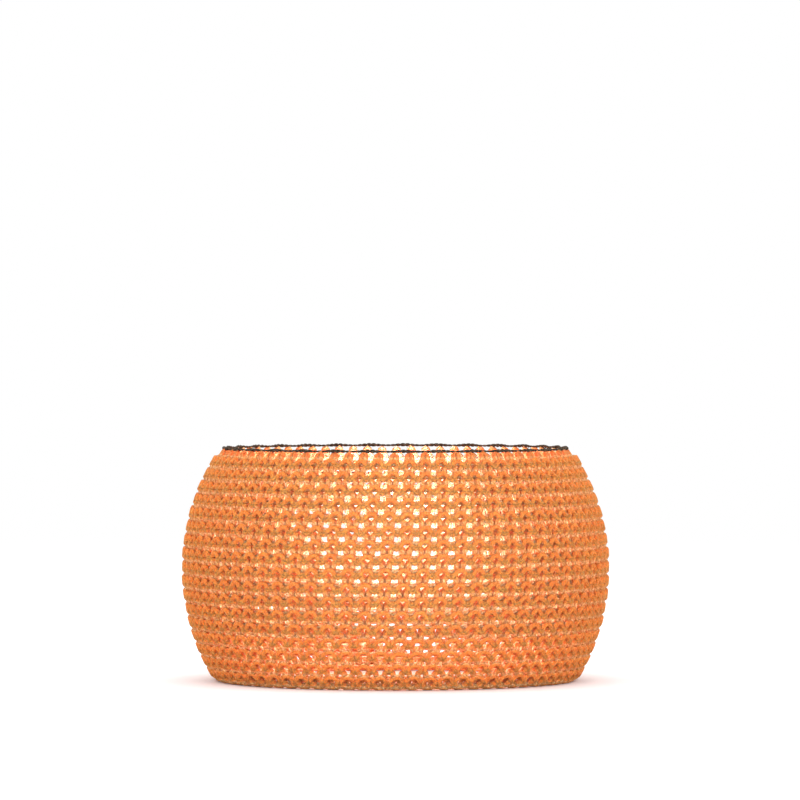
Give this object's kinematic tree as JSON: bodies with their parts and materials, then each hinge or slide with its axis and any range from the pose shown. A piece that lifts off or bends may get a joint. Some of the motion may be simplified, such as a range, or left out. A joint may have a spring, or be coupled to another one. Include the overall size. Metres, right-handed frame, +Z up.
{
  "type": "bulb sleeve",
  "caption": "Barrel-shaped crocheted yarn sleeve, open at both ends, that slips round the belly of a large globe lamp bulb and softens its light.",
  "frame": {"origin": "centre of the bottom edge, on the surface that the sleeve stands on", "axes": "+Z up the sleeve's axis, +Y towards the back and +X to the right, seen from the front"},
  "size_m": [0.1332, 0.1332, 0.0731],
  "materials": {
    "yarn": "matt orange two-ply yarn, worked in single crochet",
    "thread": "matt dark twisted thread"
  },
  "bodies": {
    "root": {"crocheted_sleeve": "yarn", "edge_thread": "thread"}
  },
  "joints": []
}
